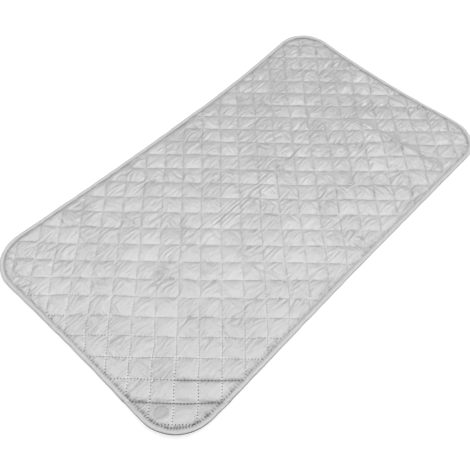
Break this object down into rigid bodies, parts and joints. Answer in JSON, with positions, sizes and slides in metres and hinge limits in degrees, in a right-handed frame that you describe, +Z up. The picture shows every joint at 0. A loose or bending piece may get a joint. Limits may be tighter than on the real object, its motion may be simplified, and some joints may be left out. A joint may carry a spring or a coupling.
{
  "type": "quilted magnetic ironing mat",
  "caption": "Portable ironing pad: a rectangular quilted mat with silver-coated top, bound edge, rounded drawn-in corners and magnets sewn in, laid flat on a table or appliance top.",
  "frame": {"origin": "under the middle of the mat, on the surface it lies on", "axes": "+X along the length, +Y across the width towards the rear long side, +Z up out of the silver face"},
  "size_m": [0.8424, 0.4746, 0.0064],
  "materials": {
    "silver_cloth": "woven cotton with a silver heat-reflecting coat, satin, quilted",
    "binding": "woven tape with the same silver coat, folded round the edge",
    "thread": "spun polyester sewing thread",
    "wadding": "needled white fibre wadding, matt",
    "backing": "plain woven grey cloth, matt",
    "magnet": "sintered ferrite disc, dark grey, satin"
  },
  "bodies": {
    "root": {"backing_cloth": "backing", "wadding": "wadding", "magnet_front_left": "magnet", "magnet_front_right": "magnet", "magnet_rear_left": "magnet", "magnet_rear_right": "magnet", "top_cover": "silver_cloth", "quilting_thread_a": "thread", "quilting_thread_b": "thread", "edge_binding": "binding", "binding_thread": "thread"}
  },
  "joints": []
}
